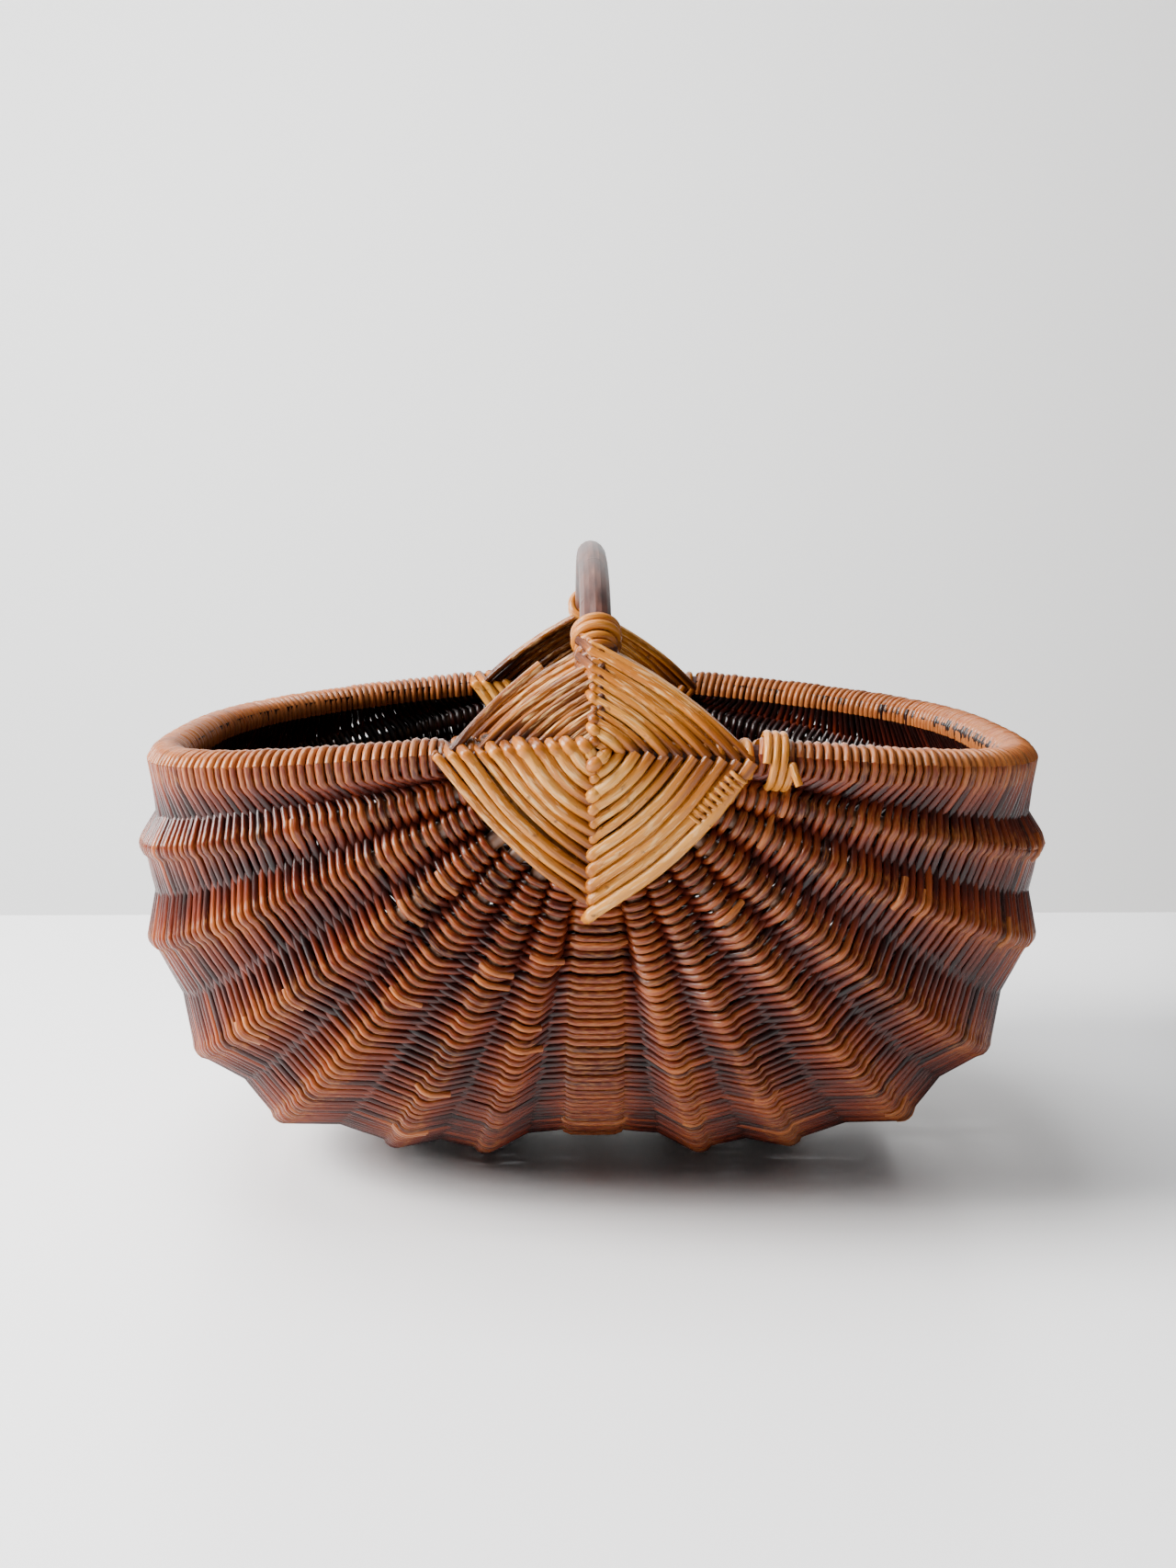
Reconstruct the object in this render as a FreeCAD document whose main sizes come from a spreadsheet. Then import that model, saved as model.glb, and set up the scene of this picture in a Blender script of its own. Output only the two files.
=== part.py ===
import FreeCAD, Part
import Sketcher
import math
import os

# Rib basket with a fixed hoop handle.
# Frame: origin on the ground under the middle of the basket, +Z up, the handle stands in the
# plane X = 0 and the two lashed crossings lie at -Y (near) and +Y (far).
# Every frame member is a plane curve that starts at the near crossing, runs under the basket
# and ends at the far crossing.  Its plane holds the line that joins the two crossings, and is
# turned below the horizontal by the member's own angle, like the ribs of a fan.

doc = FreeCAD.newDocument("RibBasket")
sheet = doc.addObject("Spreadsheet::Sheet", "Dimensions")

DRIVING_DIMENSIONS = [
    ("axis_height", 223.2),         # height of the line between the two crossings
    ("rod_gap", 0.1),               # play between pieces that lie on each other
    ("rim_rod_radius", 6.5),
    ("rim_half_depth", 184.0),
    ("rim_reach", 205.0),           # from the axis to the rim's middle line, halfway back
    ("rim_angle", 5.2),             # degrees below the horizontal
    ("rim_tuck", 4.0),              # how far the rim stands out where it crosses the hoop
    ("hoop_rod_radius", 7.0),
    ("hoop_half_depth", 181.0),
    ("hoop_tuck", 6.6),             # how far the hoop draws in where it crosses the rim
    ("tuck_length", 34.0),
    ("flatten_length", 100.0),      # how far from the crossing the hoop has flattened
    ("bow_rise", 77.0),             # middle line of the handle bow above the axis
    ("bow_power", 2.3),
    ("keel_half_width", 13.0),
    ("keel_half_thickness", 4.5),
    ("keel_reach", 206.5),
    ("rib_radius", 4.0),
    ("rib_half_depth", 182.0),
    ("rib_drop", 5.0),              # how far below the axis the ribs meet
    ("rib_start", 50.0),            # length of rib that is missing at each crossing
    ("weaver_radius", 1.75),
    ("weave_start", 56.0),          # where the weave starts, along each rib
    ("ridge_width_share", 0.65),    # width of a ridge's top, as a share of its rib's width
    ("valley_half_thickness", 3.2),
    ("edge_lip", 1.0),              # least weave between the rim and the first rib
    ("eye_rod_radius", 3.0),
    ("eye_reach_side", 68.0),
    ("eye_reach_up", 44.0),
    ("eye_reach_down", 73.0),
    ("eye_inner_reach_up", 14.0),   # the inner face stops where the bow leans in over it
    ("eye_inner_reach_down", 58.0),
    ("eye_inner_gap", 0.6),         # clears the bow's lean below that point
    ("eye_pad_thickness", 6.0),
    ("binding_radius", 5.2),
    ("binding_length", 26.0),
    ("binding_standoff", 14.0),     # from the hoop's middle line out to the binding's
    ("collar_length", 10.0),
    ("ground_width", 600.0),
    ("ground_thickness", 50.0),
]
for row, (alias, value) in enumerate(DRIVING_DIMENSIONS, start=1):
    sheet.set(f"A{row}", alias)
    sheet.set(f"B{row}", str(value))
    sheet.setAlias(f"B{row}", alias)
doc.recompute()


def size(alias):
    """Read one driving dimension."""
    return float(sheet.get(alias))


# Rib number: angle below the horizontal, reach of the ridge from the axis, and how square the
# near half and the far half of the curve are (2 is an ellipse, more is squarer).
RIBS = {
    1: (14.2, 228.0, 3.2, 2.6),
    2: (25.4, 242.5, 3.0, 2.6),
    3: (39.2, 256.5, 2.8, 2.5),
    4: (51.0, 256.0, 2.6, 2.5),
    5: (64.1, 238.0, 2.5, 2.4),
    6: (75.4, 226.5, 2.4, 2.4),
}
RIM_POWERS = (3.6, 2.6)
KEEL_POWERS = (2.4, 2.4)
# Binding on the near lashing: both ends of its middle line, as X and height above the axis.
BINDING_LOW = (48.0, -30.0)
BINDING_HIGH = (67.0, -9.6)
# Where the collars sit on the bow, as a turn from the near crossing (pi is the far one).
COLLAR_TURNS = {"near_handle_collar": 0.25 * math.pi, "far_handle_collar": 0.75 * math.pi}
# How many cross-sections or points each curved piece is drawn through.
RIB_STATIONS = 19
RIM_STATIONS = 21
HOOP_STATIONS = 25
COURSE_STATIONS = 7
ROD_SIDES = 16
RIDGE_STANDOFF = size("rib_radius") + 2 * size("weaver_radius")
SIDES = {"left": -1, "right": 1}


class Member:
    """Middle line of one frame member, measured by its length from the near crossing."""

    SAMPLES = 720

    def __init__(self, side, angle, half_depth, reach, powers, section, tuck=0.0, drop=0.0):
        self.section = section
        self.origin = FreeCAD.Vector(0, 0, size("axis_height") - drop)
        tilt = math.radians(angle)
        self.outward = FreeCAD.Vector(side * math.cos(tilt), 0, -math.sin(tilt))
        self.sideways = FreeCAD.Vector(side * math.sin(tilt), 0, math.cos(tilt))
        self.half_depth = half_depth
        self.reach = reach
        self.powers = powers
        self.tuck = tuck
        self.points = [self.at_turn(math.pi * i / self.SAMPLES) for i in range(self.SAMPLES + 1)]
        self.lengths = [0.0]
        for here, there in zip(self.points, self.points[1:]):
            self.lengths.append(self.lengths[-1] + here.distanceToPoint(there))
        self.length = self.lengths[-1]

    def at_turn(self, turn):
        power = self.powers[0] if turn < math.pi / 2 else self.powers[1]
        depth = -math.copysign(abs(math.cos(turn)) ** (2 / power), math.cos(turn))
        out = self.reach * abs(math.sin(turn)) ** (2 / power)
        stand_out = self.tuck * math.exp(-(out / size("tuck_length")) ** 2)
        along = depth * self.half_depth + math.copysign(1, depth) * stand_out
        return self.origin + self.outward * out + FreeCAD.Vector(0, along, 0)

    def at(self, length):
        low = 0
        high = self.SAMPLES
        while high - low > 1:
            middle = (low + high) // 2
            if self.lengths[middle] <= length:
                low = middle
            else:
                high = middle
        span = self.lengths[high] - self.lengths[low]
        share = (length - self.lengths[low]) / span
        return self.points[low] + (self.points[high] - self.points[low]) * share

    def normal(self, length):
        """Outward direction across the middle line, in the member's own plane."""
        step = 1.5
        run = self.at(min(length + step, self.length)) - self.at(max(length - step, 0.0))
        normal = self.sideways.cross(run)
        normal.normalize()
        if normal.dot(self.at(length) - self.origin) < 0:
            normal = normal * -1
        return normal

    def rightward(self):
        """Across the member, towards +X or, on the flanks, up the right side."""
        return self.sideways if self.outward.x > 0 else self.sideways * -1

    def half_section(self, length):
        """Half width and half thickness of the member at a length."""
        return self.section(min(length, self.length - length))

    def woven_length(self, share):
        """Length at a share of the woven stretch, 0 at the near end and 1 at the far end."""
        start = size("weave_start")
        return start + share * (self.length - 2 * start)


def round_rib(to_end):
    return size("rib_radius"), size("rib_radius")


def round_rim(to_end):
    return size("rim_rod_radius"), size("rim_rod_radius")


def keel_flatness(to_end):
    """0 where the hoop is round, at the crossings, and 1 where it is a flat slat."""
    return 1 - math.exp(-(to_end / size("flatten_length")) ** 2)


def flat_keel(to_end):
    flatness = keel_flatness(to_end)
    return (size("hoop_rod_radius") + flatness * (size("keel_half_width") - size("hoop_rod_radius")),
            size("hoop_rod_radius") + flatness
            * (size("keel_half_thickness") - size("hoop_rod_radius")))


def make_members():
    members = {}
    for side_name, side in SIDES.items():
        members["rim", side_name] = Member(
            side, size("rim_angle"), size("rim_half_depth"), size("rim_reach"),
            RIM_POWERS, round_rim, size("rim_tuck"))
        for number, (angle, ridge, near_power, far_power) in RIBS.items():
            members[number, side_name] = Member(
                side, angle, size("rib_half_depth"), ridge - RIDGE_STANDOFF,
                (near_power, far_power), round_rib, drop=size("rib_drop"))
    members["keel"] = Member(
        1, 90.0, size("hoop_half_depth"), size("keel_reach"), KEEL_POWERS, flat_keel,
        -size("hoop_tuck"))
    return members


MEMBERS = make_members()


def smooth_edge(points, end_directions=None):
    curve = Part.BSplineCurve()
    if end_directions:
        curve.interpolate(
            Points=points, InitialTangent=end_directions[0], FinalTangent=end_directions[1])
    else:
        curve.interpolate(Points=points)
    return curve.toShape()


def spine(name, points):
    feature = doc.addObject("Part::Feature", name)
    feature.Shape = Part.Wire([smooth_edge(points)])
    return feature


def section(name, radius_alias, place, direction):
    circle = doc.addObject("Part::Circle", name)
    circle.setExpression("Radius", f"<<Dimensions>>.{radius_alias}")
    turn = FreeCAD.Rotation(FreeCAD.Vector(0, 0, 1), direction)
    circle.Placement = FreeCAD.Placement(place, turn)
    return circle


def rod(label, path, sections):
    """Sweep round sections along a path as one solid rod."""
    sweep = doc.addObject("Part::Sweep", label)
    sweep.Label = label
    sweep.Sections = sections
    sweep.Spine = (path, ["Edge1"])
    sweep.Solid = True
    sweep.Frenet = False
    return sweep


def cut(label, base, tool):
    feature = doc.addObject("Part::Cut", label)
    feature.Label = label
    feature.Base = base
    feature.Tool = tool
    return feature


def compound(name, pieces):
    group = doc.addObject("Part::Compound", name)
    group.Links = pieces
    return group


def evenly(start, end, count):
    return [start + (end - start) * i / (count - 1) for i in range(count)]


# ---- solids sewn from ruled strips ---------------------------------------------------------------

def ruled(first_line, second_line):
    return Part.makeRuledSurface(first_line, second_line)


def quad(a, b, c, d):
    return ruled(Part.makeLine(a, b), Part.makeLine(d, c))


def strips(rows, closed=False, end_directions=None):
    """Ruled strips between the smooth curves that run along the columns."""
    curves = [smooth_edge(list(column), end_directions) for column in zip(*rows)]
    following = curves[1:] + curves[:1] if closed else curves[1:]
    return [ruled(here, there) for here, there in zip(curves, following)]


def ring(middle, across, outward, half_width, half_thickness):
    """Points round a rod's cross-section, which is round or an ellipse."""
    turns = [2 * math.pi * i / ROD_SIDES for i in range(ROD_SIDES)]
    return [middle + across * (half_width * math.cos(turn))
            + outward * (half_thickness * math.sin(turn)) for turn in turns]


def ring_cap(outer, inner):
    """The end of a tube, between two rings of as many points."""
    following = list(range(1, len(outer))) + [0]
    return [quad(outer[i], outer[j], inner[j], inner[i]) for i, j in enumerate(following)]


def sewn_solid(faces):
    """One solid from faces that meet edge to edge."""
    sewn = Part.Compound(faces)
    sewn.sewShape()
    solid = Part.makeSolid(Part.makeShell(sewn.Faces))
    if solid.Volume < 0:
        solid.reverse()
    return solid


def solid_feature(name, solid):
    feature = doc.addObject("Part::Feature", name)
    feature.Label = name
    feature.Shape = solid
    return feature


# ---- ribs ------------------------------------------------------------------------------------

def make_rib(number, side_name):
    member = MEMBERS[number, side_name]
    lengths = evenly(size("rib_start"), member.length - size("rib_start"), RIB_STATIONS)
    points = [member.at(length) for length in lengths]
    path = spine(f"RibLine_{side_name}_{number}", points)
    profile = section(
        f"RibSection_{side_name}_{number}", "rib_radius", points[0], points[1] - points[0])
    return rod(f"rib_{side_name}_{number}", path, [profile])


# ---- rim hoop and its wrapping -----------------------------------------------------------------

def rim_rings(side_name, start, radius):
    """Cross-sections of a rod or sleeve along one side of the rim, from near to far."""
    member = MEMBERS["rim", side_name]
    rings = []
    for length in evenly(start, member.length - start, RIM_STATIONS):
        middle = member.at(length)
        outward = member.normal(length)
        upward = member.sideways
        if length in (0.0, member.length):  # the rod runs straight across the handle's plane
            outward = FreeCAD.Vector(0, math.copysign(1, middle.y), 0)
            upward = FreeCAD.Vector(0, 0, 1)
        rings.append(ring(middle, upward, outward, radius, radius))
    return rings


def make_rim_hoop():
    """Both sides of the rim rod, which meet in the handle's plane."""
    faces = []
    for side_name, side in SIDES.items():
        outwards = FreeCAD.Vector(side, 0, 0)
        rings = rim_rings(side_name, 0.0, size("rim_rod_radius"))
        faces += strips(rings, closed=True, end_directions=[outwards, outwards * -1])
    return solid_feature("rim_hoop", sewn_solid(faces))


def make_rim_wrapping(side_name):
    """The weavers' turns over the rim, as one sleeve on the rim rod."""
    start = size("eye_reach_side")
    bore = size("rim_rod_radius") + size("rod_gap")
    outer = rim_rings(side_name, start, size("rim_rod_radius") + 2 * size("weaver_radius"))
    inner = rim_rings(side_name, start, bore)
    faces = strips(outer, closed=True) + strips(inner, closed=True)
    faces += ring_cap(outer[0], inner[0]) + ring_cap(outer[-1], inner[-1])
    return solid_feature(f"rim_wrapping_{side_name}", sewn_solid(faces))


# ---- handle hoop -------------------------------------------------------------------------------

def bow_point(turn):
    """A point of the handle bow; a quarter turn is its top."""
    depth = -math.copysign(abs(math.cos(turn)) ** (2 / size("bow_power")), math.cos(turn))
    rise = size("bow_rise") * abs(math.sin(turn)) ** (2 / size("bow_power"))
    draw_in = size("hoop_tuck") * math.exp(-(rise / size("tuck_length")) ** 2)
    along = depth * size("hoop_half_depth") - math.copysign(draw_in, depth)
    return FreeCAD.Vector(0, along, size("axis_height") + rise)


def bow_direction(turn):
    step = 0.01
    return bow_point(min(turn + step, math.pi)) - bow_point(max(turn - step, 0.0))


def hoop_ring(middle, direction, half_width, half_thickness, at_crossing):
    """Cross-section of the handle hoop; it runs straight up through each crossing."""
    across = FreeCAD.Vector(1, 0, 0)
    outward = across.cross(direction)
    outward.normalize()
    if at_crossing:
        outward = FreeCAD.Vector(0, 1, 0)
    if outward.dot(middle - FreeCAD.Vector(0, 0, size("axis_height"))) < 0:
        outward = outward * -1
    return ring(middle, across, outward, half_width, half_thickness)


def bow_rings():
    radius = size("hoop_rod_radius")
    turns = evenly(0.0, math.pi, HOOP_STATIONS)
    return [hoop_ring(bow_point(turn), bow_direction(turn), radius, radius,
                      turn in (turns[0], turns[-1])) for turn in turns]


def keel_rings():
    """The hoop's lower half, shaved from round at the crossings to a wide flat slat."""
    member = MEMBERS["keel"]
    lengths = evenly(0.0, member.length, HOOP_STATIONS)
    rings = []
    for length in lengths:
        direction = member.normal(length).cross(FreeCAD.Vector(1, 0, 0))
        rings.append(hoop_ring(member.at(length), direction, *member.half_section(length),
                               length in (lengths[0], lengths[-1])))
    return rings


def make_handle_hoop():
    """One closed hoop: the bow over the basket and the keel under it."""
    faces = strips(bow_rings(), closed=True) + strips(keel_rings(), closed=True)
    return solid_feature("handle_hoop", sewn_solid(faces))


# ---- weave -------------------------------------------------------------------------------------
# The weavers pass in front of one rib and behind the next, so the wall is thick over each rib,
# thin between the ribs, and pierced by the ribs themselves.  A course is a band of such rows.

COURSES = {
    "weave_near_end": (0.0, 0.15),
    "weave_near_shoulder": (0.15, 0.32),
    "weave_near_belly": (0.32, 0.5),
    "weave_far_belly": (0.5, 0.68),
    "weave_far_shoulder": (0.68, 0.85),
    "weave_far_end": (0.85, 1.0),
}
OCTAGON = math.tan(math.pi / 8)


def ring_over(member, share):
    """Cross-section of the weave over one member: its outer ridge, its inner ridge and the
    eight-sided channel for the member, from the left side to the right."""
    length = member.woven_length(share)
    middle = member.at(length)
    outward = member.normal(length)
    rightward = member.rightward()
    half_width, half_thickness = member.half_section(length)
    weave = 2 * size("weaver_radius")

    def point(right, out):
        return middle + rightward * right + outward * out

    ridge = half_width * size("ridge_width_share")
    wide = half_width + size("rod_gap")
    thick = half_thickness + size("rod_gap")
    near_wide = wide * OCTAGON
    near_thick = thick * OCTAGON
    return {
        "outer": [point(-ridge, half_thickness + weave), point(ridge, half_thickness + weave)],
        "inner": [point(-ridge, -half_thickness - weave), point(ridge, -half_thickness - weave)],
        "channel": [
            point(-wide, near_thick), point(-near_wide, thick),
            point(near_wide, thick), point(wide, near_thick),
            point(wide, -near_thick), point(near_wide, -thick),
            point(-near_wide, -thick), point(-wide, -near_thick)],
    }


def valley_between(left, right, share):
    """Outer and inner points halfway between the facing sides of two neighbours."""
    ends = []
    outward = FreeCAD.Vector()
    for member, way in ((left, 1), (right, -1)):
        length = member.woven_length(share)
        half_width = member.half_section(length)[0]
        ends.append(member.at(length) + member.rightward() * (way * half_width))
        outward += member.normal(length)
    outward.normalize()
    outward = outward * size("valley_half_thickness")
    middle = (ends[0] + ends[1]) * 0.5
    return middle + outward, middle - outward


def edge_under(rim, rib, share):
    """Outer and inner points where the weave stops, just under the wrapped rim."""
    on_rim = rim.at(rim.woven_length(share))
    rib_length = rib.woven_length(share)
    down = rib.at(rib_length) - on_rim
    wrapped = size("rim_rod_radius") + 2 * size("weaver_radius") + size("rod_gap")
    clear = min(wrapped, down.Length - size("rib_radius") - size("edge_lip"))
    down.normalize()
    middle = on_rim + down * clear
    outward = rib.normal(rib_length) * size("valley_half_thickness")
    return middle + outward, middle - outward


def cross_section(share):
    """The whole cross-section at one share, from the left rim to the right rim."""
    ribs = ([MEMBERS[number, "left"] for number in RIBS] + [MEMBERS["keel"]]
            + [MEMBERS[number, "right"] for number in reversed(RIBS)])
    valleys = [valley_between(left, right, share) for left, right in zip(ribs, ribs[1:])]
    return {
        "valleys": ([edge_under(MEMBERS["rim", "left"], ribs[0], share)] + valleys
                    + [edge_under(MEMBERS["rim", "right"], ribs[-1], share)]),
        "rings": [ring_over(rib, share) for rib in ribs],
    }


def surface_columns(section_points, layer):
    """One surface of the cross-section as a list of points: layer 0 outside, 1 inside."""
    name = ("outer", "inner")[layer]
    points = [section_points["valleys"][0][layer]]
    for ring, valley in zip(section_points["rings"], section_points["valleys"][1:]):
        points += ring[name] + [valley[layer]]
    return points


def cap(section_points):
    """The end of a course: eight pieces round each channel."""
    faces = []
    valleys = section_points["valleys"]
    for ring, left, right in zip(section_points["rings"], valleys, valleys[1:]):
        around = [left[0]] + ring["outer"] + [right[0], right[1]] + ring["inner"][::-1] + [left[1]]
        faces += ring_cap(around, ring["channel"])
    return faces


def course_solid(low, high):
    sections = [cross_section(share) for share in evenly(low, high, COURSE_STATIONS)]
    outer = [surface_columns(points, 0) for points in sections]
    inner = [surface_columns(points, 1) for points in sections]
    faces = strips(outer) + strips(inner)
    for i in (0, -1):
        faces += strips([[outer_row[i], inner_row[i]] for outer_row, inner_row in zip(outer, inner)])
    for i in range(len(sections[0]["rings"])):
        faces += strips([points["rings"][i]["channel"] for points in sections], closed=True)
    faces += cap(sections[0]) + cap(sections[-1])
    return sewn_solid(faces)


def make_course(label, ground):
    """A course of weave; where it reaches the ground its ridges are worn flat."""
    solid = course_solid(*COURSES[label])
    if solid.BoundBox.ZMin >= 0:
        return solid_feature(label, solid)
    return cut(label, solid_feature(f"Unworn_{label}", solid), ground)


# ---- lashings ----------------------------------------------------------------------------------

def make_eye_face(name, along, reach_up, reach_down):
    """One face of a lashed crossing: a thin four-cornered pad across the handle's plane."""
    corners = [("eye_reach_side", -1, 0), (reach_up, 0, 1),
               ("eye_reach_side", 1, 0), (reach_down, 0, -1)]
    body = doc.addObject("PartDesign::Body", f"Pad_{name}")
    sketch = body.newObject("Sketcher::SketchObject", f"Diamond_{name}")
    plane = [f for f in body.Origin.OriginFeatures if f.Role == "XZ_Plane"][0]
    sketch.AttachmentSupport = [(plane, "")]
    sketch.MapMode = "FlatFace"
    points = [FreeCAD.Vector(x * size(a), z * size(a), 0) for a, x, z in corners]
    for here, there in zip(points, points[1:] + points[:1]):
        sketch.addGeometry(Part.LineSegment(here, there), False)
    for line, (alias, x, z) in enumerate(corners):
        following = (line + 1) % len(corners)
        sketch.addConstraint(Sketcher.Constraint("Coincident", line, 2, following, 1))
        sketch.addConstraint(Sketcher.Constraint("PointOnObject", line, 1, -2 if z else -1))
        kind = "DistanceX" if x else "DistanceY"
        corner = (line, 1)
        origin = (-1, 1)
        first, second = (origin, corner) if x + z > 0 else (corner, origin)
        index = sketch.addConstraint(Sketcher.Constraint(kind, *first, *second, size(alias)))
        sketch.setExpression(f"Constraints[{index}]", f"<<Dimensions>>.{alias}")
    pad = body.newObject("PartDesign::Pad", f"Thickness_{name}")
    pad.Profile = sketch
    pad.SideType = "Symmetric"
    pad.setExpression("Length", "<<Dimensions>>.eye_pad_thickness")
    body.Placement.Base = FreeCAD.Vector(0, along, size("axis_height"))
    return body


def make_eye(label, end):
    """A lashing has one face outside the crossed hoops and one inside them."""
    half_pad = size("eye_pad_thickness") / 2 + size("rod_gap")
    outside = size("rim_half_depth") + size("rim_tuck") + size("rim_rod_radius") + half_pad
    inside = (size("hoop_half_depth") - size("hoop_tuck") - size("hoop_rod_radius") - half_pad
              - size("eye_inner_gap"))
    eye = compound(label, [
        make_eye_face(f"{label}_outside", end * outside, "eye_reach_up", "eye_reach_down"),
        make_eye_face(f"{label}_inside", end * inside, "eye_inner_reach_up",
                      "eye_inner_reach_down")])
    eye.Label = label
    return eye


def make_collar(label, turn, handle_hoop):
    """The last turns of a lashing, round the foot of the handle bow."""
    cylinder = doc.addObject("Part::Cylinder", f"Turns_{label}")
    cylinder.setExpression("Radius", "<<Dimensions>>.hoop_rod_radius + <<Dimensions>>.eye_rod_radius")
    cylinder.setExpression("Height", "<<Dimensions>>.collar_length")
    turned = FreeCAD.Rotation(FreeCAD.Vector(0, 0, 1), bow_direction(turn))
    cylinder.Placement = FreeCAD.Placement(bow_point(turn), turned)
    return cut(label, cylinder, handle_hoop)


# ---- the whole basket --------------------------------------------------------------------------

def make_ground():
    """What the ridges that touch the ground are worn flat against."""
    ground = doc.addObject("Part::Box", "Ground")
    ground.setExpression("Length", "<<Dimensions>>.ground_width")
    ground.setExpression("Width", "<<Dimensions>>.ground_width")
    ground.setExpression("Height", "<<Dimensions>>.ground_thickness")
    half_width = size("ground_width") / 2
    ground.Placement.Base = FreeCAD.Vector(-half_width, -half_width, -size("ground_thickness"))
    return ground


def make_tail_binding():
    """Thin binding beside the near lashing's lower right edge."""
    along = -size("hoop_half_depth") - size("binding_standoff")
    low, high = [FreeCAD.Vector(x, along, size("axis_height") + above)
                 for x, above in (BINDING_LOW, BINDING_HIGH)]
    cylinder = doc.addObject("Part::Cylinder", "near_tail_binding")
    cylinder.Label = "near_tail_binding"
    cylinder.setExpression("Radius", "<<Dimensions>>.binding_radius")
    cylinder.setExpression("Height", "<<Dimensions>>.binding_length")
    turned = FreeCAD.Rotation(FreeCAD.Vector(0, 0, 1), high - low)
    cylinder.Placement = FreeCAD.Placement(low, turned)
    return cylinder


def build():
    handle_hoop = make_handle_hoop()
    ground = make_ground()
    ribs = [make_rib(number, side_name) for side_name in SIDES for number in RIBS]
    wrappings = [make_rim_wrapping(side_name) for side_name in SIDES]
    courses = [make_course(label, ground) for label in COURSES]
    eyes = [make_eye("near_eye_lashing", -1), make_eye("far_eye_lashing", 1)]
    collars = [make_collar(label, turn, handle_hoop) for label, turn in COLLAR_TURNS.items()]
    return ([make_rim_hoop(), handle_hoop, make_tail_binding()] + ribs + wrappings + courses
            + eyes + collars)


def check_and_write(nodes):
    doc.recompute()
    for feature in doc.Objects:
        for fault in ("Invalid", "Error"):
            if fault in feature.State:
                raise RuntimeError(f"{feature.Name} is {fault}")
    os.makedirs("parts", exist_ok=True)
    for node in nodes:
        if node.Shape.isNull() or not node.Shape.isValid():
            raise RuntimeError(f"{node.Label} has no valid shape")
    for node in nodes:
        node.Shape.exportStep(f"parts/{node.Label}.step")
        print(node.Label, len(node.Shape.Solids), round(node.Shape.Volume / 1000, 1), "cm3")


if __name__ == "__main__":
    check_and_write(build())
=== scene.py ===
import bpy
import math
import random
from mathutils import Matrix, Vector


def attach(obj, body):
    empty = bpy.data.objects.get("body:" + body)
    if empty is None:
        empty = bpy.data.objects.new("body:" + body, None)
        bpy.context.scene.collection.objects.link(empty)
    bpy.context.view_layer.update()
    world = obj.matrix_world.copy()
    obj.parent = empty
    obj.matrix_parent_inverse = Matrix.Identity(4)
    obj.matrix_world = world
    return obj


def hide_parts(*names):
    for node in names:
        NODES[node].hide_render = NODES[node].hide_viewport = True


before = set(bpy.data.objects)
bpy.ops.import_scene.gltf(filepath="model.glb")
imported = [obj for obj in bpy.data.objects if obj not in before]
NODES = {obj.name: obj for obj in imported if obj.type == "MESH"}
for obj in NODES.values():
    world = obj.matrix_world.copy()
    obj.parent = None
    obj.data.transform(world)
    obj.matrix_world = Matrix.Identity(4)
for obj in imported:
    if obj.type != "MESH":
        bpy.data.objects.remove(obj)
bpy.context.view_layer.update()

# ---- sizes, in metres ------------------------------------------------------------------------

AXIS_HEIGHT = 0.2232            # the line between the two crossings
RIM_ROD = 0.0065                # radii of the rods
HOOP_ROD = 0.007
RIB_ROD = 0.004
WEAVER = 0.00175
WEAVE_START = 0.056             # length of each rib, from the crossing, left bare under a lashing
EYE_SIDE = 0.068                # how far a lashing reaches along the rim, up the bow, down the keel
EYE_UP = 0.044
EYE_DOWN = 0.073
TUCK_LENGTH = 0.034             # how far from a crossing the hoops bend round each other

RIM_ANGLE = 5.2                 # degrees below the horizontal
RIM_REACH = 0.205
RIM_POWERS = (3.6, 2.6)         # squareness of the near and far half
RIM_HALF_DEPTH = 0.184
RIM_TUCK = 0.004

RIB_DROP = 0.005                # ribs start this far below the crossings
RIB_HALF_DEPTH = 0.182
RIDGE_STANDOFF = RIB_ROD + 2 * WEAVER

HOOP_HALF_DEPTH = 0.181
HOOP_TUCK = 0.0066
BOW_RISE = 0.077
BOW_POWER = 2.3
BOW_STEPS = 240
KEEL_REACH = 0.2065
KEEL_POWERS = (2.4, 2.4)
KEEL_HALF_WIDTH = 0.013
KEEL_HALF_THICKNESS = 0.0045
FLATTEN_LENGTH = 0.100          # how far from a crossing the keel grows flat

ROWS = 264
WIDE_GAP = 0.012                # weavers run straight across gaps wider than this
BEND = 48.0                     # degrees of a rib's section that a weaver lies against, each way

# Rib: angle below the horizontal, reach of its ridge, squareness of the near and far half.
RIBS = [
    (14.2, 0.2280, 3.2, 2.6),
    (25.4, 0.2425, 3.0, 2.6),
    (39.2, 0.2565, 2.8, 2.5),
    (51.0, 0.2560, 2.6, 2.5),
    (64.1, 0.2380, 2.5, 2.4),
    (75.4, 0.2265, 2.4, 2.4),
]
# Where each course of weave ends, as a share of the woven length, and the CAD node it replaces.
COURSES = [
    (0.15, "weave_near_end"),
    (0.32, "weave_near_shoulder"),
    (0.50, "weave_near_belly"),
    (0.68, "weave_far_belly"),
    (0.85, "weave_far_shoulder"),
    (1.00, "weave_far_end"),
]
RIM_CREST = {True: 1.0, False: -1.0}    # crest of a row that passes outside or inside the rims: painted light outside, painted shade inside
chance = random.Random(7)


# ---- the frame's middle lines ------------------------------------------------------------------

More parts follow.
